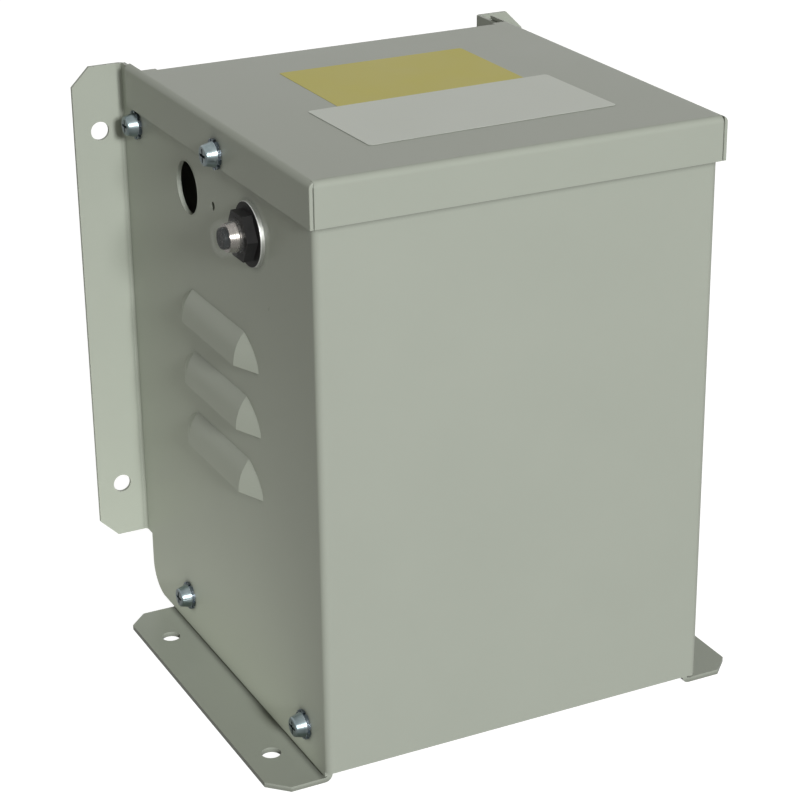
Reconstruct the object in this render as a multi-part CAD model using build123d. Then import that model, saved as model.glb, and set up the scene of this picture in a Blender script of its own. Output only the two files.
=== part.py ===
from build123d import *
import os

# Overall sizes, millimetres. X runs across the front, -Y is the front, +Y the wall, Z is up.
case_width = 160.0
wrap_depth = 182.0
overall_height = 233.0

# Folded case sheet
case_sheet = 1.5
case_bend = 1.3
fold_gap = 0.2
side_bottom = 3.4
front_bottom = 5.6
rear_edge_inset = 7.0
rear_corner = 12.0

# Lid
lid_sheet = 1.5
lid_bend = 0.9
lid_gap = 0.3
lid_side_gap = 0.6
lid_lip = 16.6
wall_space = 24.0
lid_seam = 0.1
lid_edge = 0.45
lid_tail = 12.0
lid_rear_lip = 10.0
lid_rear_relief = 3.0

# Wall flanges and feet
flange_reach = 20.5
flange_bottom = 28.0
flange_drop = 0.4
corner_cut = 7.5
mount_hole = 7.5
mount_inset = 10.0
wall_hole_rise = 23.2
wall_hole_drop = 26.3
foot_hole_front = 29.3
foot_hole_rear = 23.9

# Base tray
base_sheet = 2.0
base_bend = 1.2
deck_height = 26.0
base_setback = 4.0
base_rear_gap = 1.0

# Back panel
back_flange = 14.0
back_flange_drop = 8.0
back_foot = 14.0
back_foot_bolt = 7.5
back_screw_spread = 50.0

# Louvres
louvre_count = 3
louvre_pitch = 25.4
louvre_top = 157.9
louvre_height = 12.4
louvre_reach = 4.8
louvre_crown = 3.7
louvre_front = 51.7
louvre_length = 74.5
louvre_ramp = 12.2

# Openings in the left side
port_drop = 18.0
entry_hole = 20.5
entry_place = 114.1
entry_bead = 0.1
entry_bead_width = 0.5
pip_hole = 3.4
pip_place = 89.0
breaker_place = 53.7

# Case screws, M5 pan heads on toothed washers with nuts inside
screw_size = 5.0
screw_slack = 0.1
screw_hole_slack = 0.3
screw_head = 9.6
screw_tip = 7.4
screw_head_height = 4.1
screw_edge = 0.8
screw_spare = 1.0
recess_width = 1.1
recess_span = 5.2
recess_depth = 1.8
washer_size = 11.4
washer_sheet = 1.1
washer_teeth = 10
washer_notch_depth = 1.1
washer_notch_width = 1.3
nut_flats = 8.0
nut_height = 4.0
lid_screw_rise = 4.8
back_screw_drop = 23.3
back_screw_reach = 9.1
base_screw_front = 19.9
base_screw_rear = 22.2
base_screw_front_drop = 9.3
base_screw_rear_drop = 8.1

# Reset breaker, measured outward from the side of the case
bush_size = 11.4
bush_chamfer = 0.6
bush_reach = 10.0
bush_taper = 3.2
bush_slack = 0.2
bezel_size = 24.0
bezel_height = 1.6
bezel_edge = 0.4
breaker_nut_flats = 16.8
breaker_nut_height = 3.9
boot_gap = 0.6
boot_wall = 0.6
boot_air = 1.2
boot_round = 2.0
button_size = 8.0
button_slack = 0.05
button_stand = 2.0
button_length = 7.4
button_travel = 2.5
button_floor_gap = 1.3
button_round = 0.9
breaker_width = 18.0
breaker_tall = 30.0
breaker_deep = 30.0
breaker_edge = 1.5
blade_width = 6.3
blade_sheet = 0.8
blade_length = 9.0
blade_spread = 14.0
blade_hole = 1.6

# Laminated core and coil
core_width = 126.0
core_tall = 105.0
core_stack = 60.0
core_tongue = 42.0
core_yoke = 21.0
core_bolt = 5.0
core_bolt_inset = 10.5
core_bolt_slack = 0.2
coil_slack = 0.3
bobbin_wall = 1.5
bobbin_cheek = 1.5
bobbin_clear = 0.5
primary_build = 8.0
barrier_build = 0.8
outer_tape_build = 0.8
coil_room = 1.2
coil_corner = 2.0

# Core clamps
clamp_sheet = 3.0
clamp_tall = 21.0
clamp_edge = 6.5
clamp_bolt_spread = 90.0
clamp_bolt_gap = 0.2

# Terminal block and earth stud
block_ways = 6
block_pitch = 12.0
block_end = 9.0
block_tall = 26.0
block_deep = 17.0
block_height = 172.0
block_step = 6.0
block_well = 6.2
block_well_depth = 7.5
clamp_screw_size = 4.6
clamp_screw_height = 3.0
clamp_screw_slot = 0.9
stud_size = 6.0
stud_tall = 24.0
stud_inset = 18.3
stud_gap = 5.0
stud_nut_flats = 10.0
stud_nut_height = 5.0
stud_washer = 12.0
stud_washer_sheet = 1.2

# Planes that the pieces share
half_width = case_width / 2
overall_depth = wrap_depth + lid_gap + lid_sheet
wall_y = overall_depth / 2
front_y = wall_y - wrap_depth
inner_x = half_width - case_sheet
lid_under = overall_height - lid_sheet
wrap_top = lid_under - lid_gap
flange_top = wrap_top - flange_drop
lid_half = half_width + lid_side_gap + lid_sheet
lid_front = front_y - lid_gap - lid_sheet
lid_lip_z = overall_height - lid_lip
lid_back = wall_y - wall_space
back_outer_y = lid_back - lid_sheet - lid_gap
back_inner_y = back_outer_y - case_sheet
leg_outer_x = inner_x - fold_gap
mount_x = half_width + mount_inset
screw_hole_r = screw_size / 2 + screw_hole_slack
screw_r = screw_size / 2 - screw_slack
middle_y = (front_y + lid_back) / 2
base_front_y = front_y + base_setback
base_rear_y = back_outer_y - base_rear_gap
port_height = lid_lip_z - port_drop
clamp_bend = clamp_sheet / 2
clamp_bolt_out = clamp_sheet + clamp_bend + screw_head / 2 + clamp_bolt_gap
clamp_foot = clamp_bolt_out + clamp_edge
core_window = (core_width - core_tongue - 2 * core_yoke) / 2


def folded(points, inside, gauge):
    return trace(FilletPolyline(*points, radius=inside + gauge / 2), line_width=gauge)


def upright(section, bottom, top):
    return extrude(Pos(0, 0, bottom) * section, top - bottom)


def along_y(section, front, back):
    return extrude(Plane.XZ.offset(-front) * section, front - back)


def along_x(section, left, right):
    return extrude(Plane.YZ.offset(left) * section, right - left)


def side_plane(sign, y, z, x=half_width):
    return Plane(origin=(sign * x, y, z), x_dir=(0, 1, 0), z_dir=(sign, 0, 0))


def back_plane(x, z, y=back_outer_y):
    return Plane(origin=(x, y, z), x_dir=(-1, 0, 0), z_dir=(0, 1, 0))


def front_plane(x, y, z):
    return Plane(origin=(x, y, z), x_dir=(1, 0, 0), z_dir=(0, -1, 0))


def rod(radius, start, stop):
    return Pos(0, 0, start) * Cylinder(radius, stop - start, align=(Align.CENTER, Align.CENTER, Align.MIN))


def hexagon(flats, start, stop, bore):
    outline = RegularPolygon(flats / 2, 6, major_radius=False) - Circle(bore)
    return extrude(Pos(0, 0, start) * outline, stop - start)


def pan_screw(grip):
    sit = (Align.CENTER, Align.CENTER, Align.MIN)
    head = Cone(screw_head / 2, screw_tip / 2, screw_head_height, align=sit)
    head = fillet(head.edges().group_by(Axis.Z)[-1], screw_edge)
    slot = Box(recess_span, recess_width, recess_depth, align=(Align.CENTER, Align.CENTER, Align.MAX))
    cross = Pos(0, 0, screw_head_height) * (slot + Rot(0, 0, 90) * slot)
    return head - cross + rod(screw_r, -grip, 0)


def toothed_washer():
    ring = Circle(washer_size / 2) - Circle(screw_hole_r)
    notch = Rectangle(washer_notch_depth * 2, washer_notch_width)
    gaps = Sketch() + [loc * notch for loc in PolarLocations(washer_size / 2, washer_teeth)]
    return extrude(ring - gaps, washer_sheet)


def save(shape, name):
    export_step(shape, "parts/" + name + ".step")


def save_group(shapes, name):
    save(Compound(children=[shape.solid() for shape in shapes]), name)


# Louvre form: a straight hood whose section slides back into the sheet along a ramp at each end
def louvre_form(height, reach, crown, depth):
    top = (0, height)
    lip = (-reach, 0)
    hood = ThreePointArc(top, (-crown, height / 2), lip)
    section = make_face(hood + Polyline(lip, (depth, 0), (depth, height), top))
    straight = louvre_length - 2 * louvre_ramp
    middle = along_y(section, 0, straight)
    slope = Vector(louvre_reach, -louvre_ramp, 0)
    front_end = extrude(Plane.XZ * section, slope.length, dir=slope.normalized())
    sit = (Align.MIN, Align.CENTER, Align.CENTER)
    beyond = Box(2 * louvre_reach, louvre_length, 2 * louvre_height, align=sit)
    front_end -= Pos(depth, 0, 0) * beyond
    half_way = Plane(origin=(0, straight / 2, 0), z_dir=(0, 1, 0))
    return middle + front_end + mirror(front_end, half_way)


def louvre_places():
    slit = louvre_top - louvre_height
    front = front_y + louvre_front + louvre_ramp
    return [Pos(-half_width, front, slit - louvre_pitch * step) for step in range(louvre_count)]


def base_screw_spots():
    front = (front_y + base_screw_front, deck_height - base_screw_front_drop)
    rear = (base_rear_y - base_screw_rear, deck_height - base_screw_rear_drop)
    return [front, rear]


lid_screw_spot = (middle_y, lid_lip_z + lid_screw_rise)
back_screw_spot = (back_outer_y + back_screw_reach, overall_height - back_screw_drop)


# Case wrap: wall flange, side, front, side and wall flange folded from one sheet
def wrap():
    side_mid = half_width - case_sheet / 2
    wall_mid = wall_y - case_sheet / 2
    front_mid = front_y + case_sheet / 2
    flange_end = half_width + flange_reach
    path = [
        (-flange_end, wall_mid),
        (-side_mid, wall_mid),
        (-side_mid, front_mid),
        (side_mid, front_mid),
        (side_mid, wall_mid),
        (flange_end, wall_mid),
    ]
    sheet = upright(folded(path, case_bend, case_sheet), side_bottom, wrap_top)
    free_edge = wall_y - rear_edge_inset
    below = Rectangle(rear_edge_inset * 2, flange_bottom - side_bottom, align=(Align.MIN, Align.MIN))
    corner = Rectangle(rear_corner, rear_corner, align=(Align.MAX, Align.MIN))
    round_centre = (free_edge - rear_corner, side_bottom + rear_corner)
    corner = Pos(free_edge, side_bottom) * corner - Pos(*round_centre) * Circle(rear_corner)
    trim = Pos(free_edge, side_bottom) * below + corner
    front_edge = Rectangle(case_bend + case_sheet, front_bottom - side_bottom, align=(Align.MIN, Align.MIN))
    trim += Pos(front_y, side_bottom) * front_edge
    above = Rectangle(case_bend + case_sheet, flange_drop, align=(Align.MAX, Align.MAX))
    trim += Pos(wall_y, wrap_top) * above
    sheet -= along_x(trim, -flange_end, flange_end)
    ends = sheet.edges().filter_by(Axis.Y).sort_by(lambda e: abs(e.center().X))[-4:]
    sheet = chamfer(ends, corner_cut)
    outer = louvre_form(louvre_height, louvre_reach, louvre_crown, case_sheet / 2)
    hollow = (louvre_height - case_sheet, louvre_reach - case_sheet, louvre_crown - case_sheet)
    inner = louvre_form(*hollow, 2 * case_sheet)
    for place in louvre_places():
        sheet = sheet + place * outer - place * inner
        sheet = sheet + mirror(place * outer, Plane.YZ) - mirror(place * inner, Plane.YZ)
    drill = rod(mount_hole / 2, -2 * case_sheet, case_sheet)
    for x in (-mount_x, mount_x):
        for z in (flange_bottom + wall_hole_rise, flange_top - wall_hole_drop):
            sheet -= back_plane(x, z, wall_y) * drill
    bead = rod(entry_hole / 2 + entry_bead_width, -case_sheet - entry_bead, entry_bead)
    sheet += side_plane(-1, front_y + entry_place, port_height) * bead
    ports = [
        (entry_hole, entry_place),
        (pip_hole, pip_place),
        (bush_size + 2 * bush_slack, breaker_place),
    ]
    for size, place in ports:
        hole = rod(size / 2, -2 * case_sheet, case_sheet)
        sheet -= side_plane(-1, front_y + place, port_height) * hole
    for sign in (-1, 1):
        for y, z in [lid_screw_spot, back_screw_spot] + base_screw_spots():
            sheet -= side_plane(sign, y, z) * rod(screw_hole_r, -2 * case_sheet, case_sheet)
    return sheet


# Lid: top sheet with a front lip, a short rear lip and two side skirts that run on behind the top
def lid():
    mid = lid_sheet / 2
    skirts = folded(
        [
            (-lid_half + mid, lid_lip_z),
            (-lid_half + mid, overall_height - mid),
            (lid_half - mid, overall_height - mid),
            (lid_half - mid, lid_lip_z),
        ],
        lid_bend,
        lid_sheet,
    )
    fold = lid_bend + lid_sheet
    tail_end = lid_back + lid_tail
    sheet = along_y(skirts, lid_front, tail_end)
    sheet = fillet(sheet.edges().filter_by(Axis.Z).group_by(Axis.Y)[0], lid_edge)
    clear = Box(2 * (lid_half - fold), lid_tail, 2 * lid_sheet)
    sheet -= Pos(0, (lid_back + tail_end) / 2, overall_height) * clear
    lip_half = lid_half - lid_sheet - lid_seam
    clear = Box(2 * (lip_half + lid_seam), fold, lid_lip * 2)
    sheet -= Pos(0, lid_front + fold / 2, overall_height) * clear
    rear_half = leg_outer_x - case_sheet - lid_rear_relief
    clear = Box(2 * (rear_half + lid_seam), fold, lid_sheet * 2)
    sheet -= Pos(0, lid_back - fold / 2, overall_height) * clear
    front_lip = folded(
        [
            (lid_front + mid, lid_lip_z),
            (lid_front + mid, overall_height - mid),
            (lid_front + 2 * fold, overall_height - mid),
        ],
        lid_bend,
        lid_sheet,
    )
    rear_lip = folded(
        [
            (lid_back - mid, overall_height - lid_rear_lip),
            (lid_back - mid, overall_height - mid),
            (lid_back - 2 * fold, overall_height - mid),
        ],
        lid_bend,
        lid_sheet,
    )
    lip = along_x(front_lip, -lip_half, lip_half)
    sheet += fillet(lip.edges().filter_by(Axis.Z).group_by(Axis.Y)[0], lid_edge)
    sheet += along_x(rear_lip, -rear_half, rear_half)
    hole = rod(screw_hole_r, -2 * lid_sheet, lid_sheet)
    for sign in (-1, 1):
        sheet -= side_plane(sign, *lid_screw_spot, lid_half) * hole
    return sheet


# Base tray: foot, leg, deck, leg and foot folded from one thicker sheet
def base_tray():
    mid = base_sheet / 2
    foot_end = half_width + flange_reach
    path = [
        (-foot_end, mid),
        (-leg_outer_x + mid, mid),
        (-leg_outer_x + mid, deck_height - mid),
        (leg_outer_x - mid, deck_height - mid),
        (leg_outer_x - mid, mid),
        (foot_end, mid),
    ]
    tray = along_y(folded(path, base_bend, base_sheet), base_front_y, base_rear_y)
    ends = tray.edges().filter_by(Axis.Z).sort_by(lambda e: abs(e.center().X))[-4:]
    tray = chamfer(ends, corner_cut)
    for x in (-mount_x, mount_x):
        for y in (front_y + foot_hole_front, base_rear_y - foot_hole_rear):
            tray -= Pos(x, y, 0) * rod(mount_hole / 2, -base_sheet, 2 * base_sheet)
    for sign in (-1, 1):
        for y, z in base_screw_spots():
            tray -= side_plane(sign, y, z, leg_outer_x) * rod(screw_hole_r, -2 * base_sheet, base_sheet)
    for x, y in clamp_bolt_spots() + back_foot_spots():
        tray -= Pos(x, y, deck_height) * rod(screw_hole_r, -2 * base_sheet, base_sheet)
    return tray


# Back panel: side flanges turned to the wall, a foot turned forward onto the deck
def back_panel():
    mid = case_sheet / 2
    end = back_outer_y + back_flange
    path = [
        (-leg_outer_x + mid, end),
        (-leg_outer_x + mid, back_outer_y - mid),
        (leg_outer_x - mid, back_outer_y - mid),
        (leg_outer_x - mid, end),
    ]
    fold = case_bend + case_sheet
    sheet = upright(folded(path, case_bend, case_sheet), deck_height + fold, wrap_top)
    above = Rectangle(back_flange, back_flange_drop, align=(Align.MIN, Align.MAX))
    above = Pos(back_outer_y + case_bend, wrap_top) * above
    sheet -= along_x(above, -leg_outer_x, leg_outer_x)
    foot_half = leg_outer_x - fold
    foot = folded(
        [
            (back_inner_y - back_foot, deck_height + mid),
            (back_outer_y - mid, deck_height + mid),
            (back_outer_y - mid, deck_height + 2 * fold),
        ],
        case_bend,
        case_sheet,
    )
    sheet += along_x(foot, -foot_half, foot_half)
    hole = rod(screw_hole_r, -2 * case_sheet, case_sheet)
    for sign in (-1, 1):
        sheet -= side_plane(sign, *back_screw_spot, leg_outer_x) * hole
    for x, y in back_foot_spots():
        sheet -= Pos(x, y, deck_height) * rod(screw_hole_r, -case_sheet, 2 * case_sheet)
    for x in block_fixing_spots():
        sheet -= back_plane(x, block_height) * hole
    return sheet


def clamp_bolt_spots():
    out = core_stack / 2 + clamp_bolt_out
    half = clamp_bolt_spread / 2
    return [(x, middle_y + y) for x in (-half, half) for y in (-out, out)]


def back_foot_spots():
    y = back_inner_y - back_foot_bolt
    return [(-back_screw_spread, y), (back_screw_spread, y)]


def block_fixing_spots():
    reach = block_ways * block_pitch / 2 + block_end / 2
    return [-reach, reach]


# Case screws with their washers and nuts, the same on both sides
def case_fasteners(spots, face, back, prefix):
    screws = []
    washers = []
    nuts = []
    grip = washer_sheet + face - back + nut_height + screw_spare
    for sign in (-1, 1):
        for y, z in spots:
            plane = side_plane(sign, y, z, face)
            washers.append(plane * toothed_washer())
            screws.append(plane * (Pos(0, 0, washer_sheet) * pan_screw(grip)))
            inside = side_plane(sign, y, z, back)
            nuts.append(inside * hexagon(nut_flats, -nut_height, 0, screw_size / 2))
    save_group(screws, prefix + "_screws")
    save_group(washers, prefix + "_washers")
    save_group(nuts, prefix + "_nuts")


# Through fasteners inside the case: a plain round head, shank and nut on one axis
def inner_fasteners(planes, grip, prefix):
    bolts = []
    nuts = []
    for plane in planes:
        head = rod(screw_head / 2, 0, screw_head_height)
        bolts.append(plane * (head + rod(screw_r, -grip - nut_height - screw_spare, 0)))
        nuts.append(plane * hexagon(nut_flats, -grip - nut_height, -grip, screw_size / 2))
    save_group(bolts, prefix + "_bolts")
    save_group(nuts, prefix + "_nuts")


# Reset breaker, built outward along local Z from the case side
def breaker():
    plane = side_plane(-1, front_y + breaker_place, port_height)
    seat = -case_sheet
    half_bush = bush_size / 2
    half_bore = button_size / 2 + button_slack
    button_reach = bush_reach + button_stand
    button_base = button_reach - button_length
    bore_floor = button_base - button_travel - button_floor_gap
    profile = make_face(
        Polyline(
            (0, seat),
            (half_bush, seat),
            (half_bush, bush_reach - bush_taper),
            (half_bush - bush_chamfer, bush_reach),
            (half_bore, bush_reach),
            (half_bore, bore_floor),
            (0, bore_floor),
            close=True,
        )
    )
    save(plane * revolve(Plane.XZ * profile, Axis.Z), "breaker_bush")
    hole = half_bush + bush_slack
    bezel = rod(bezel_size / 2, 0, bezel_height) - rod(hole, 0, bezel_height)
    rim = bezel.edges().filter_by(GeomType.CIRCLE).sort_by(Axis.Z)[-2:].sort_by(SortBy.RADIUS)[-1]
    save(plane * fillet(rim, bezel_edge), "breaker_bezel")
    nut_top = bezel_height + breaker_nut_height
    save(plane * hexagon(breaker_nut_flats, bezel_height, nut_top, hole), "breaker_ring_nut")
    hollow = rod(half_bush + boot_gap, nut_top, button_reach + boot_air)
    inner = fillet(hollow.edges().group_by(Axis.Z)[-1], boot_round - boot_wall)
    cup = rod(half_bush + boot_gap + boot_wall, nut_top, button_reach + boot_air + boot_wall)
    outer = fillet(cup.edges().group_by(Axis.Z)[-1], boot_round)
    save(plane * (outer - inner), "breaker_boot")
    button = rod(button_size / 2, button_base, button_reach)
    save(plane * fillet(button.edges().group_by(Axis.Z)[-1], button_round), "reset_button")
    body = Box(breaker_width, breaker_tall, breaker_deep, align=(Align.CENTER, Align.CENTER, Align.MAX))
    body = fillet(body.edges().filter_by(Axis.Z), breaker_edge)
    save(plane * (Pos(0, 0, seat) * body), "breaker_body")
    blade = Box(blade_sheet, blade_width, blade_length, align=(Align.CENTER, Align.CENTER, Align.MAX))
    blade -= Pos(0, 0, -blade_length / 2) * Rot(0, 90, 0) * Cylinder(blade_hole / 2, 2 * blade_sheet)
    rear = seat - breaker_deep
    spots = [Pos(0, step * blade_spread / 2, rear) for step in (-1, 1)]
    save_group([plane * (spot * blade) for spot in spots], "breaker_blades")


# Laminated core, clamps and through bolts
def core():
    outline = Rectangle(core_width, core_tall)
    opening = Rectangle(core_window, core_tall - 2 * core_yoke)
    for sign in (-1, 1):
        outline -= Pos(sign * (core_tongue + core_window) / 2, 0) * opening
    holes = [Pos(x, z) * Circle(core_bolt / 2 + core_bolt_slack) for x, z in core_bolt_spots()]
    outline -= Sketch() + holes
    middle = deck_height + core_tall / 2
    stack = Pos(0, 0, middle) * along_y(outline, middle_y - core_stack / 2, middle_y + core_stack / 2)
    save(stack, "core_stack")


def core_bolt_spots():
    x = core_width / 2 - core_bolt_inset
    z = core_tall / 2 - core_bolt_inset
    return [(-x, -z), (x, -z), (-x, z), (x, z)]


def clamps():
    face = middle_y + core_stack / 2
    mid = clamp_sheet / 2
    angle = folded(
        [
            (face + mid, deck_height + clamp_tall),
            (face + mid, deck_height + mid),
            (face + clamp_foot, deck_height + mid),
        ],
        clamp_bend,
        clamp_sheet,
    )
    angle = along_x(angle, -core_width / 2, core_width / 2)
    strap_bottom = deck_height + core_tall - clamp_tall
    strap = Pos(0, face + mid, strap_bottom + clamp_tall / 2) * Box(core_width, clamp_sheet, clamp_tall)
    middle = deck_height + core_tall / 2
    for x, z in core_bolt_spots():
        drill = Plane(origin=(x, face, middle + z), x_dir=(-1, 0, 0), z_dir=(0, 1, 0))
        drill = drill * rod(core_bolt / 2 + core_bolt_slack, -clamp_sheet, 2 * clamp_sheet)
        angle -= drill
        strap -= drill
    for x, y in clamp_bolt_spots():
        angle -= Pos(x, y, deck_height) * rod(screw_hole_r, -clamp_sheet, 2 * clamp_sheet)
    across = Plane(origin=(0, middle_y, 0), z_dir=(0, 1, 0))
    save_group([angle, mirror(angle, across)], "lower_clamps")
    save_group([strap, mirror(strap, across)], "upper_clamps")
    front = middle_y - core_stack / 2 - clamp_sheet
    axes = [front_plane(x, front, middle + z) for x, z in core_bolt_spots()]
    inner_fasteners(axes, core_stack + 2 * clamp_sheet, "core")
    top = deck_height + clamp_sheet
    feet = [Plane(origin=(x, y, top)) for x, y in clamp_bolt_spots()]
    inner_fasteners(feet, clamp_sheet + base_sheet, "clamp")
    foot_top = deck_height + case_sheet
    feet = [Plane(origin=(x, y, foot_top)) for x, y in back_foot_spots()]
    inner_fasteners(feet, case_sheet + base_sheet, "panel_foot")


# Coil layers around the core tongue, from the bobbin outward
def tongue_outline(inset, corner):
    outline = Rectangle(core_tongue + 2 * inset, core_stack + 2 * inset)
    return fillet(outline.vertices(), corner) if corner else outline


def coil():
    height = core_tall - 2 * core_yoke - 2 * coil_slack
    wound = height - 2 * bobbin_cheek - 2 * coil_slack
    middle = deck_height + core_tall / 2
    bore = tongue_outline(coil_slack, 0)
    wall = coil_slack + bobbin_wall
    cheek = tongue_outline(core_window - bobbin_clear, coil_corner) - bore
    tube = tongue_outline(wall, coil_corner) - bore
    low = middle - height / 2
    high = middle + height / 2
    cheeks = upright(cheek, low, low + bobbin_cheek) + upright(cheek, high - bobbin_cheek, high)
    save(Pos(0, middle_y, 0) * (upright(tube, low, high) + cheeks), "bobbin")
    other_builds = primary_build + barrier_build + outer_tape_build + 4 * coil_slack
    secondary_build = core_window - coil_room - wall - other_builds
    layers = [
        ("primary_winding", primary_build),
        ("winding_barrier", barrier_build),
        ("secondary_winding", secondary_build),
        ("outer_tape", outer_tape_build),
    ]
    inset = wall
    for name, build in layers:
        inset += coil_slack
        inner = tongue_outline(inset, coil_corner + inset - wall)
        inset += build
        outer = tongue_outline(inset, coil_corner + inset - wall)
        layer = upright(outer - inner, middle - wound / 2, middle + wound / 2)
        save(Pos(0, middle_y, 0) * layer, name)


# Terminal block on the back panel, with its clamp screws and fixings
def terminals():
    length = block_ways * block_pitch + 2 * block_end
    steps = Polyline(
        (back_inner_y, -block_tall / 2),
        (back_inner_y - block_deep + block_step, -block_tall / 2),
        (back_inner_y - block_deep, -block_tall / 2 + block_step),
        (back_inner_y - block_deep, block_tall / 2 - block_step),
        (back_inner_y - block_deep + block_step, block_tall / 2),
        (back_inner_y, block_tall / 2),
        close=True,
    )
    block = Pos(0, 0, block_height) * along_x(make_face(steps), -length / 2, length / 2)
    face = back_inner_y - block_deep
    screws = []
    for way in range(block_ways):
        x = (way - (block_ways - 1) / 2) * block_pitch
        for z in (-block_tall / 4, block_tall / 4):
            plane = front_plane(x, face, block_height + z)
            block -= plane * rod(block_well / 2, -block_well_depth, block_well)
            head = rod(clamp_screw_size / 2, -block_well_depth, clamp_screw_height - block_well_depth)
            slot = Box(block_well, clamp_screw_slot, 2 * clamp_screw_slot)
            screws.append(plane * (head - Pos(0, 0, clamp_screw_height - block_well_depth) * slot))
    planes = [front_plane(x, face, block_height) for x in block_fixing_spots()]
    for plane in planes:
        block -= plane * rod(screw_hole_r, -2 * block_deep, block_deep)
    save(block, "terminal_block")
    save_group(screws, "terminal_screws")
    inner_fasteners(planes, block_deep + case_sheet, "block")


# Earth stud on the deck with its washer and two nuts
def earth():
    y = middle_y - core_stack / 2 - clamp_foot - stud_gap - stud_washer / 2
    place = Pos(leg_outer_x - stud_inset, y, deck_height)
    save(place * rod(stud_size / 2 - screw_slack, 0, stud_tall), "earth_stud")
    ring = rod(stud_washer / 2, 0, stud_washer_sheet)
    ring -= rod(stud_size / 2 + screw_slack, 0, stud_washer_sheet)
    seat = stud_washer_sheet + stud_nut_height
    save_group([place * ring, place * Pos(0, 0, seat) * ring], "earth_washers")
    low = hexagon(stud_nut_flats, stud_washer_sheet, seat, stud_size / 2)
    high_start = seat + stud_washer_sheet
    high = hexagon(stud_nut_flats, high_start, high_start + stud_nut_height, stud_size / 2)
    save_group([place * low, place * high], "earth_nuts")


os.makedirs("parts", exist_ok=True)
save(wrap(), "case_wrap")
save(lid(), "lid")
save(base_tray(), "base_tray")
save(back_panel(), "back_panel")
case_fasteners([lid_screw_spot], lid_half, inner_x, "lid")
case_fasteners([back_screw_spot], half_width, leg_outer_x - case_sheet, "back")
case_fasteners(base_screw_spots(), half_width, leg_outer_x - base_sheet, "base")
breaker()
core()
clamps()
coil()
terminals()
earth()
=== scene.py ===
import math

import bmesh
import bpy
from mathutils import Matrix, Quaternion, Vector


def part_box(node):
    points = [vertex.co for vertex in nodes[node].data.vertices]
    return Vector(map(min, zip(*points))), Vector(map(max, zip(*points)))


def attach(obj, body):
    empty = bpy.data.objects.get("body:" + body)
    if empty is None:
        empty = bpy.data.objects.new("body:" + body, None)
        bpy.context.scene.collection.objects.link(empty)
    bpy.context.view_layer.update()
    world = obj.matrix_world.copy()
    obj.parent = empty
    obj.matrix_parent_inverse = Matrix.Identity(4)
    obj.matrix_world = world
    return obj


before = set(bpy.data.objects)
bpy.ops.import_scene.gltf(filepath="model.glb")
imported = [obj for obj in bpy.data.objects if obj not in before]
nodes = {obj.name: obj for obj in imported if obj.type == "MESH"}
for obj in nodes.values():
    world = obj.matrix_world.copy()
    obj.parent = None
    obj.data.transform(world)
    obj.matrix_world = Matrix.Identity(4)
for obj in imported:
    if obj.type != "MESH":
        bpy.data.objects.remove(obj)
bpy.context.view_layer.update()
mm = 0.001
white = (1.0, 1.0, 1.0, 1.0)
scene = bpy.context.scene
print("frame loaded:", len(nodes), "nodes")


# camera, fitted to the edges and holes of the case
view = {
    "eye": (-380.8, -758.7, 465.6), "aim": (0.40931, 0.82441, -0.3909), "roll": -0.67,
    "lens": 105.0, "sensor": 36.0,
}
cameraData = bpy.data.cameras.new("viewCamera")
cameraData.lens = view["lens"]
cameraData.sensor_width = view["sensor"]
camera = bpy.data.objects.new("viewCamera", cameraData)
scene.collection.objects.link(camera)
camera.rotation_mode = "QUATERNION"
camera.location = Vector(view["eye"]) * mm
tilt = Quaternion((0, 0, 1), math.radians(view["roll"]))
camera.rotation_quaternion = Vector(view["aim"]).to_track_quat("-Z", "Y") @ tilt
scene.camera = camera
print("camera set")


# helpers for node trees
def mathNode(tree, operation, first, second, clamp=False):
    node = tree.nodes.new("ShaderNodeMath")
    node.operation = operation
    node.use_clamp = clamp
    for socket, value in zip(node.inputs, (first, second)):
        if isinstance(value, (int, float)):
            socket.default_value = value
        else:
            tree.links.new(value, socket)
    return node.outputs[0]


def spread(tree, value, low, high, start, stop):
    node = tree.nodes.new("ShaderNodeMapRange")
    tree.links.new(value, node.inputs["Value"])
    limits = {"From Min": start, "From Max": stop, "To Min": low, "To Max": high}
    for label, number in limits.items():
        node.inputs[label].default_value = number
    return node.outputs["Result"]


mixSocket = {"share": 0, "first": 6, "second": 7, "result": 2}  # those of a colour mix


def blendColours(tree, share, first, second):
    node = tree.nodes.new("ShaderNodeMix")
    node.data_type = "RGBA"
    tree.links.new(share, node.inputs[mixSocket["share"]])
    for label, value in (("first", first), ("second", second)):
        socket = node.inputs[mixSocket[label]]
        if isinstance(value, tuple):
            socket.default_value = (*value, 1.0)
        else:
            tree.links.new(value, socket)
    return node.outputs[mixSocket["result"]]


def objectPlace(tree):
    return tree.nodes.new("ShaderNodeTexCoord").outputs["Object"]


def trueNormal(tree):
    return tree.nodes.new("ShaderNodeNewGeometry").outputs["Normal"]


wavePeriod = 2 * math.pi / 20  # of the wave texture at scale 1


def bands(tree, axis, pitch):
    wave = tree.nodes.new("ShaderNodeTexWave")
    wave.bands_direction = axis
    wave.inputs["Scale"].default_value = wavePeriod / (pitch * mm)
    tree.links.new(objectPlace(tree), wave.inputs["Vector"])
    return wave.outputs["Fac"]


def bump(tree, shader, height, depth, strength):
    node = tree.nodes.new("ShaderNodeBump")
    node.inputs["Distance"].default_value = depth * mm
    node.inputs["Strength"].default_value = strength
    tree.links.new(height, node.inputs["Height"])
    tree.links.new(node.outputs["Normal"], shader.inputs["Normal"])


# shared node groups
def newGroup(name, inputs, outputs):
    tree = bpy.data.node_groups.new(name, "ShaderNodeTree")
    for way, labels in (("INPUT", inputs), ("OUTPUT", outputs)):
        for label in labels:
            tree.interface.new_socket(name=label, in_out=way, socket_type="NodeSocketFloat")
    return tree, tree.nodes.new("NodeGroupInput"), tree.nodes.new("NodeGroupOutput")


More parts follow.
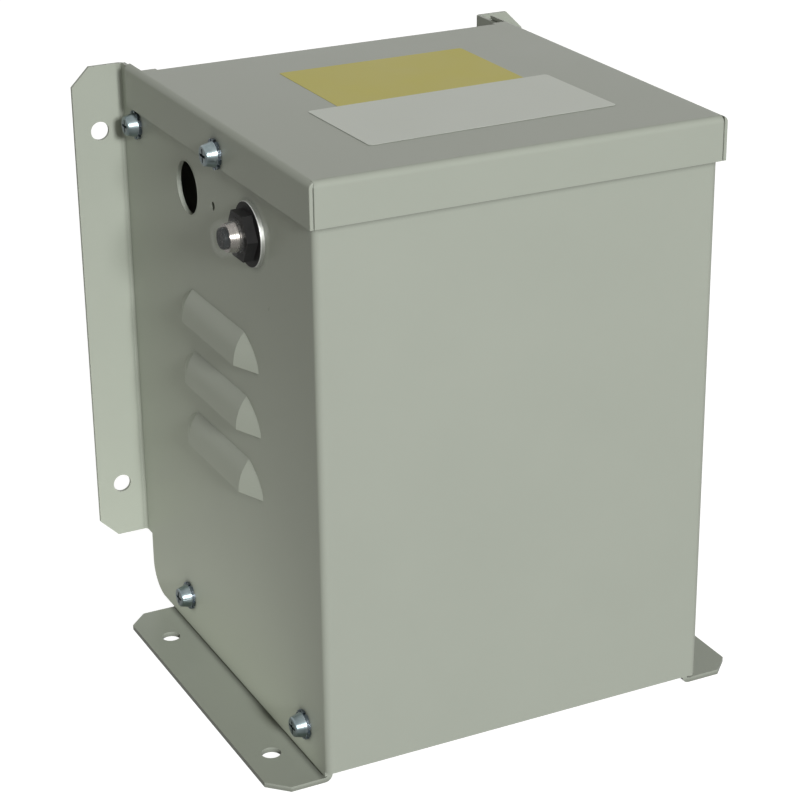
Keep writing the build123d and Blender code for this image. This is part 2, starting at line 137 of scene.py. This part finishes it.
def groupNode(tree, group, values):
    node = tree.nodes.new("ShaderNodeGroup")
    node.node_tree = group
    for label, value in values.items():
        node.inputs[label].default_value = value
    return node


# fine grain and broad clouds
grainNoise = {"grainDetail": 2.0, "cloudDetail": 5.0, "roughness": 0.55}


def grainGroup():
    scales = ("Grain Scale", "Cloud Scale")
    labels = ("Grain", "Clouds")
    details = (grainNoise["grainDetail"], grainNoise["cloudDetail"])
    tree, start, end = newGroup("fineGrain", scales, labels)
    place = objectPlace(tree)
    for label, scale, detail in zip(labels, scales, details):
        noise = tree.nodes.new("ShaderNodeTexNoise")
        noise.inputs["Detail"].default_value = detail
        noise.inputs["Roughness"].default_value = grainNoise["roughness"]
        tree.links.new(place, noise.inputs["Vector"])
        tree.links.new(start.outputs[scale], noise.inputs["Scale"])
        tree.links.new(noise.outputs["Fac"], end.inputs[label])
    return tree


# edges lighter in patches: rubbed wear and a painted highlight
edgeWearAndHighlight = {"samples": 4, "patchScale": 260.0}


def edgeGroup():
    tree, start, end = newGroup("edgeRubAndHighlight", ("Radius", "Gain"), ("Mask",))
    rounded = tree.nodes.new("ShaderNodeBevel")
    rounded.samples = edgeWearAndHighlight["samples"]
    tree.links.new(start.outputs["Radius"], rounded.inputs["Radius"])
    facing = tree.nodes.new("ShaderNodeVectorMath")
    facing.operation = "DOT_PRODUCT"
    tree.links.new(rounded.outputs["Normal"], facing.inputs[0])
    tree.links.new(trueNormal(tree), facing.inputs[1])
    turned = mathNode(tree, "SUBTRACT", 1.0, facing.outputs["Value"], clamp=True)
    patchy = tree.nodes.new("ShaderNodeTexNoise")
    patchy.inputs["Scale"].default_value = edgeWearAndHighlight["patchScale"]
    tree.links.new(objectPlace(tree), patchy.inputs["Vector"])
    broken = mathNode(tree, "MULTIPLY", turned, patchy.outputs["Fac"])
    mask = mathNode(tree, "MULTIPLY", broken, start.outputs["Gain"], clamp=True)
    tree.links.new(mask, end.inputs["Mask"])
    return tree


# painted shade: seams and creases darkened in the colour, where another face is near
seamPaintedShade = {"samples": 8, "start": 0.05, "stop": 0.26, "most": 0.6}


def seamGroup():
    tree, start, end = newGroup("seamShade", ("Reach",), ("Mask",))
    hidden = tree.nodes.new("ShaderNodeAmbientOcclusion")
    hidden.samples = seamPaintedShade["samples"]
    tree.links.new(start.outputs["Reach"], hidden.inputs["Distance"])
    dim = mathNode(tree, "SUBTRACT", 1.0, hidden.outputs["AO"])
    mask = spread(tree, dim, 0.0, seamPaintedShade["most"], seamPaintedShade["start"], seamPaintedShade["stop"])
    tree.links.new(mask, end.inputs["Mask"])
    return tree


fineGrain = grainGroup()
edgeRubAndHighlight = edgeGroup()
seamShade = seamGroup()

# one finish: two close shades in clouds, grain in the bump, roughness that drifts,
# and bands, rubbed edges with a painted highlight, or painted shade in seams, where the dictionary
# has them
cloudRange = (0.22, 0.78)
bandGroove = {"stop": 0.6, "grainShare": 0.2}


def surface(name, spec):
    finish = bpy.data.materials.new(name)
    finish.use_nodes = True
    tree = finish.node_tree
    shader = tree.nodes["Principled BSDF"]
    shader.inputs["Metallic"].default_value = spec.get("metallic", 0.0)
    shader.inputs["Specular IOR Level"].default_value = spec.get("specular", 0.5)
    scales = {"Grain Scale": spec["grain"], "Cloud Scale": spec["clouds"]}
    grain = groupNode(tree, fineGrain, scales)
    clouds = grain.outputs["Clouds"]
    share = spread(tree, clouds, 0.0, 1.0, *cloudRange)
    colour = blendColours(tree, share, spec["dark"], spec["light"])
    height = grain.outputs["Grain"]
    if "bands" in spec:
        axis, pitch, tint, weight = spec["bands"]
        rows = bands(tree, axis, pitch)
        groove = spread(tree, rows, weight, 0.0, 0.0, bandGroove["stop"])
        colour = blendColours(tree, groove, colour, tint)
        fine = mathNode(tree, "MULTIPLY", height, bandGroove["grainShare"])
        height = mathNode(tree, "ADD", rows, fine)
    # lighter edges: rubbed wear and a painted highlight
    if "edge" in spec:
        tint, radius, gain = spec["edge"]
        rubAndHighlight = groupNode(tree, edgeRubAndHighlight, {"Radius": radius * mm, "Gain": gain})
        colour = blendColours(tree, rubAndHighlight.outputs["Mask"], colour, tint)
    # painted shade in seams and creases, from an occlusion node
    if "seam" in spec:
        tint, reach = spec["seam"]
        shade = groupNode(tree, seamShade, {"Reach": reach * mm})
        colour = blendColours(tree, shade.outputs["Mask"], colour, tint)
    tree.links.new(colour, shader.inputs["Base Color"])
    rough = spread(tree, clouds, *spec["rough"], *cloudRange)
    tree.links.new(rough, shader.inputs["Roughness"])
    bump(tree, shader, height, spec["depth"], spec["strength"])
    return finish


def dress(finish, *names):
    for name in names:
        piece = nodes[name]
        if not piece.material_slots:
            piece.data.materials.append(finish)
        for slot in piece.material_slots:
            slot.material = finish


# powder coat of the folded case
casePaint = {
    "dark": (0.366, 0.394, 0.342), "light": (0.378, 0.406, 0.353),
    "grain": 620.0, "clouds": 26.0, "rough": (0.27, 0.33),
    "depth": 0.05, "strength": 0.1, "specular": 0.13,
    # edge: lighter paint on edges, rubbed wear and a painted highlight; seam: painted shade in seams
    # and creases
    "edge": ((0.46, 0.49, 0.43), 0.5, 1.6), "seam": ((0.165, 0.176, 0.15), 2.6),
}
dress(surface("casePaint", casePaint), "case_wrap", "lid", "base_tray", "back_panel")

# blue zinc on the case screws and their nuts
screwZinc = {
    "dark": (0.16, 0.20, 0.21), "light": (0.30, 0.36, 0.37),
    "grain": 1600.0, "clouds": 300.0, "rough": (0.26, 0.36),
    "depth": 0.005, "strength": 0.1, "metallic": 1.0,
    # edge tint: rubbed wear and a painted highlight
    "edge": ((0.80, 0.84, 0.86), 0.25, 3.0),
}
dress(surface("screwZinc", screwZinc), "lid_screws", "back_screws", "base_screws",
      "lid_nuts", "back_nuts", "base_nuts")

# duller zinc on the clamps and fixings inside
clampZinc = {
    "dark": (0.42, 0.45, 0.45), "light": (0.58, 0.60, 0.58),
    "grain": 900.0, "clouds": 60.0, "rough": (0.34, 0.5),
    "depth": 0.02, "strength": 0.2, "metallic": 1.0,
    # edge tint: rubbed wear and a painted highlight
    "edge": ((0.74, 0.75, 0.74), 0.4, 2.5),
}
dress(surface("clampZinc", clampZinc), "lower_clamps", "upper_clamps", "core_bolts", "core_nuts",
      "clamp_bolts", "clamp_nuts", "panel_foot_bolts", "panel_foot_nuts", "block_bolts", "block_nuts")

# hardened spring steel of the toothed washers
springSteel = {
    "dark": (0.10, 0.12, 0.14), "light": (0.20, 0.24, 0.27),
    "grain": 2200.0, "clouds": 500.0, "rough": (0.30, 0.44),
    "depth": 0.01, "strength": 0.25, "metallic": 1.0,
    # edge tint: rubbed wear and a painted highlight
    "edge": ((0.46, 0.50, 0.54), 0.15, 3.0),
}
dress(surface("springSteel", springSteel), "lid_washers", "back_washers", "base_washers")

# bright nickel of the breaker bush, with the fine thread as rings
bushNickel = {
    "dark": (0.27, 0.25, 0.23), "light": (0.41, 0.385, 0.355),
    "grain": 3000.0, "clouds": 500.0, "rough": (0.22, 0.32),
    "depth": 0.06, "strength": 0.35, "metallic": 1.0,
    "bands": ("X", 0.75, (0.30, 0.28, 0.26), 0.5),
}
dress(surface("bushNickel", bushNickel), "breaker_bush")

# bezel plate: black lacquer on the face, bright turned edge where the normal leaves -X
bezelPlate = {
    "dark": (0.010, 0.010, 0.010), "light": (0.016, 0.015, 0.015),
    "grain": 1800.0, "clouds": 300.0, "rough": (0.42, 0.5),
    "depth": 0.02, "strength": 0.2, "specular": 0.1,
    "rimTint": (0.62, 0.63, 0.60), "rimRange": (-0.92, -0.6),
}
bezel = surface("bezelPlate", bezelPlate)
bezelTree = bezel.node_tree
bezelInputs = bezelTree.nodes["Principled BSDF"].inputs
outward = bezelTree.nodes.new("ShaderNodeSeparateXYZ")
bezelTree.links.new(trueNormal(bezelTree), outward.inputs[0])
rim = spread(bezelTree, outward.outputs["X"], 0.0, 1.0, *bezelPlate["rimRange"])
faceColour = bezelInputs["Base Color"].links[0].from_socket
bezelColour = blendColours(bezelTree, rim, faceColour, bezelPlate["rimTint"])
bezelTree.links.new(bezelColour, bezelInputs["Base Color"])
bezelTree.links.new(rim, bezelInputs["Metallic"])
dress(bezel, "breaker_bezel")

# moulded black of the ring nut and breaker body
blackMoulding = {
    "dark": (0.012, 0.012, 0.012), "light": (0.020, 0.020, 0.020),
    "grain": 1500.0, "clouds": 200.0, "rough": (0.38, 0.5),
    "depth": 0.03, "strength": 0.25, "specular": 0.12,
    # edge tint: rubbed wear and a painted highlight
    "edge": ((0.04, 0.04, 0.04), 0.3, 2.0),
}
dress(surface("blackMoulding", blackMoulding), "breaker_ring_nut", "breaker_body")

# glossy button
buttonGloss = {
    "dark": (0.007, 0.009, 0.010), "light": (0.013, 0.016, 0.018),
    "grain": 900.0, "clouds": 240.0, "rough": (0.2, 0.3),
    "depth": 0.01, "strength": 0.15, "specular": 0.1,
}
dress(surface("buttonGloss", buttonGloss), "reset_button")

# clear silicone boot, a thin film seen mostly by its shine
bootSilicone = {
    "dark": (0.90, 0.93, 0.91), "light": (0.97, 0.98, 0.97),
    "grain": 700.0, "clouds": 180.0, "rough": (0.08, 0.14),
    "depth": 0.02, "strength": 0.05, "specular": 0.3, "alpha": 0.018,
}
boot = surface("bootSilicone", bootSilicone)
boot.node_tree.nodes["Principled BSDF"].inputs["Alpha"].default_value = bootSilicone["alpha"]
dress(boot, "breaker_boot")

# inside: laminations, windings, tapes, mouldings and brass
coreVarnish = {
    "dark": (0.050, 0.048, 0.050), "light": (0.085, 0.078, 0.074),
    "grain": 900.0, "clouds": 60.0, "rough": (0.35, 0.55),
    "depth": 0.08, "strength": 0.5, "metallic": 0.6,
    "bands": ("Y", 0.5, (0.16, 0.155, 0.15), 0.6),
}
dress(surface("coreVarnish", coreVarnish), "core_stack")

wireEnamel = {
    "dark": (0.34, 0.12, 0.045), "light": (0.46, 0.19, 0.075),
    "grain": 1600.0, "clouds": 90.0, "rough": (0.22, 0.36),
    "depth": 0.25, "strength": 0.8, "metallic": 0.9,
    "bands": ("Z", 1.1, (0.10, 0.03, 0.012), 0.8),
}
dress(surface("wireEnamel", wireEnamel), "primary_winding", "secondary_winding")

coilTape = {
    "dark": (0.62, 0.50, 0.16), "light": (0.72, 0.60, 0.22),
    "grain": 1400.0, "clouds": 70.0, "rough": (0.35, 0.5),
    "depth": 0.06, "strength": 0.4,
    "bands": ("Z", 12.0, (0.50, 0.38, 0.10), 0.4),
}
dress(surface("coilTape", coilTape), "winding_barrier", "outer_tape")

bobbinNylon = {
    "dark": (0.48, 0.45, 0.37), "light": (0.56, 0.53, 0.45),
    "grain": 1300.0, "clouds": 80.0, "rough": (0.45, 0.6),
    "depth": 0.04, "strength": 0.3,
    # edge tint: rubbed wear and a painted highlight
    "edge": ((0.66, 0.63, 0.56), 0.4, 1.5),
}
dress(surface("bobbinNylon", bobbinNylon), "bobbin")

blockPlastic = {
    "dark": (0.66, 0.65, 0.60), "light": (0.74, 0.73, 0.69),
    "grain": 1500.0, "clouds": 90.0, "rough": (0.38, 0.52),
    "depth": 0.03, "strength": 0.25,
    # edge tint: rubbed wear and a painted highlight
    "edge": ((0.82, 0.81, 0.78), 0.4, 1.5),
}
dress(surface("blockPlastic", blockPlastic), "terminal_block")

plainBrass = {
    "dark": (0.50, 0.34, 0.12), "light": (0.66, 0.49, 0.20),
    "grain": 2400.0, "clouds": 300.0, "rough": (0.22, 0.36),
    "depth": 0.015, "strength": 0.25, "metallic": 1.0,
    # edge tint: rubbed wear and a painted highlight
    "edge": ((0.80, 0.66, 0.36), 0.25, 2.5),
}
dress(surface("plainBrass", plainBrass), "breaker_blades", "terminal_screws",
      "earth_stud", "earth_washers", "earth_nuts")
print("finishes on", sum(1 for piece in nodes.values() if piece.material_slots[0].material), "nodes")


def addObject(name, shape, finish):
    mesh = bpy.data.meshes.new(name)
    shape.to_mesh(mesh)
    shape.free()
    mesh.materials.append(finish)
    piece = bpy.data.objects.new(name, mesh)
    scene.collection.objects.link(piece)
    return piece


# two bare plates on the lid, the pale one over the front edge of the yellow one
plateVinyl = {
    "thick": 0.08, "cornerSegments": 6, "grain": 900.0, "clouds": 45.0,
    "depth": 0.02, "strength": 0.12, "specular": 0.4,
}
plates = {
    "yellowPlate": {
        "middle": (4.2, 11.1), "size": (78.5, 54.4), "turn": 0.0, "lift": 0.0, "corner": 1.2,
        "dark": (0.485, 0.432, 0.058), "light": (0.515, 0.462, 0.070), "rough": (0.42, 0.52),
    },
    "palePlate": {
        "middle": (3.4, -38.2), "size": (100.8, 49.2), "turn": 1.4, "lift": 0.09, "corner": 1.6,
        "dark": (0.59, 0.625, 0.575), "light": (0.615, 0.65, 0.60), "rough": (0.40, 0.5),
    },
}
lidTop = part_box("lid")[1].z
for name, ownSpec in plates.items():
    spec = {**plateVinyl, **ownSpec}
    width, length = spec["size"]
    middleX, middleY = spec["middle"]
    thick = spec["thick"]
    shape = bmesh.new()
    bmesh.ops.create_cube(shape, size=1.0)
    upright = [edge for edge in shape.edges if edge.verts[0].co.z != edge.verts[1].co.z]
    bmesh.ops.scale(shape, vec=(width * mm, length * mm, thick * mm), verts=shape.verts)
    bmesh.ops.bevel(shape, geom=upright, offset=spec["corner"] * mm, affect="EDGES",
                    segments=spec["cornerSegments"], profile=0.5, material=-1)
    turn = Matrix.Rotation(math.radians(spec["turn"]), 3, "Z")
    bmesh.ops.rotate(shape, matrix=turn, verts=shape.verts)
    middleZ = lidTop + (spec["lift"] + thick / 2) * mm
    bmesh.ops.translate(shape, vec=(middleX * mm, middleY * mm, middleZ), verts=shape.verts)
    piece = addObject(name, shape, surface(name + "Vinyl", spec))
    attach(piece, "housing")
print("plates on the lid")


# share of white that a ray sees: all for the camera and through clear pieces, some in mirrors
def backgroundShare(tree, mirror):
    rays = tree.nodes.new("ShaderNodeLightPath").outputs
    direct = mathNode(tree, "MAXIMUM", rays["Is Camera Ray"], rays["Is Transmission Ray"])
    mirrored = mathNode(tree, "MULTIPLY", rays["Is Glossy Ray"], mirror)
    return mathNode(tree, "MAXIMUM", direct, mirrored)


# floor, just under the feet
floorSpec = {
    "size": 12.0, "drop": 0.2, "colour": (0.32, 0.32, 0.32), "rough": 0.9, "specular": 0.0,
    "glow": 0.95, "mirror": 0.28,
}
floorFinish = bpy.data.materials.new("paleFloor")
floorFinish.use_nodes = True
floorTree = floorFinish.node_tree
floorInputs = floorTree.nodes["Principled BSDF"].inputs
floorInputs["Base Color"].default_value = (*floorSpec["colour"], 1.0)
floorInputs["Roughness"].default_value = floorSpec["rough"]
floorInputs["Specular IOR Level"].default_value = floorSpec["specular"]
floorInputs["Emission Color"].default_value = white
floorShare = backgroundShare(floorTree, floorSpec["mirror"])
glow = mathNode(floorTree, "MULTIPLY", floorShare, floorSpec["glow"])
floorTree.links.new(glow, floorInputs["Emission Strength"])
shape = bmesh.new()
bmesh.ops.create_grid(shape, x_segments=1, y_segments=1, size=floorSpec["size"] / 2)
bmesh.ops.translate(shape, vec=(0, 0, -floorSpec["drop"] * mm), verts=shape.verts)
floor = addObject("floor", shape, floorFinish)

# world: dim warm light on the object, white behind it
worldSpec = {"strength": 0.14, "tint": (1.0, 0.95, 0.77), "mirror": 1.0}
world = bpy.data.worlds.new("studio")
scene.world = world
world.use_nodes = True
worldTree = world.node_tree
ambient = worldTree.nodes["Background"]
ambient.inputs["Color"].default_value = (*worldSpec["tint"], 1.0)
ambient.inputs["Strength"].default_value = worldSpec["strength"]
backdrop = worldTree.nodes.new("ShaderNodeBackground")
backdrop.inputs["Color"].default_value = white
either = worldTree.nodes.new("ShaderNodeMixShader")
worldTree.links.new(backgroundShare(worldTree, worldSpec["mirror"]), either.inputs[0])
worldTree.links.new(ambient.outputs[0], either.inputs[1])
worldTree.links.new(backdrop.outputs[0], either.inputs[2])
worldTree.links.new(either.outputs[0], worldTree.nodes["World Output"].inputs["Surface"])


def addLamp(name, kind, power, aim):
    data = bpy.data.lights.new(name, kind)
    data.energy = power
    lamp = bpy.data.objects.new(name, data)
    scene.collection.objects.link(lamp)
    lamp.rotation_mode = "QUATERNION"
    lamp.rotation_quaternion = Vector(aim).to_track_quat("-Z", "Y")
    return lamp, data


# key light, large and far off, so it falls off little
keySpec = {
    "power": 341.0, "from": (-0.1, -0.93, 0.354), "middle": (0.0, -90.0, 115.0),
    "distance": 6000.0, "size": 1050.0,
}
keySide = Vector(keySpec["from"]).normalized()
key, keyData = addLamp("keyLight", "AREA", keySpec["power"], -keySide)
keyData.shape = "DISK"
keyData.size = keySpec["size"] * mm
key.location = (Vector(keySpec["middle"]) + keySide * keySpec["distance"]) * mm
key.visible_camera = False

# light thrown up from the floor beside the case
fillSpec = {
    "power": 0.093, "tint": (0.99, 1.0, 0.9), "from": (-178.0, 18.0, 30.0),
    "aim": (0.3, 0.0, 1.0), "size": 200.0,
}
fill, fillData = addLamp("lowFill", "AREA", fillSpec["power"], fillSpec["aim"])
fillData.color = fillSpec["tint"]
fillData.size = fillSpec["size"] * mm
fill.location = Vector(fillSpec["from"]) * mm
fill.visible_camera = False
fill.visible_glossy = False

# soft light on the sides that the key light leaves dark
sunSpecs = {
    "sideLight": {"strength": 0.34, "from": (-1.0, 0.1, 0.15), "angle": 110.0},
    "rearLight": {"strength": 1.3, "from": (0.72, 0.69, 0.05), "angle": 25.0},
}
for name, spec in sunSpecs.items():
    sun, sunData = addLamp(name, "SUN", spec["strength"], -Vector(spec["from"]))
    sunData.angle = math.radians(spec["angle"])
    sun.visible_glossy = False
print("stage lit")

scene.view_settings.view_transform = "Standard"
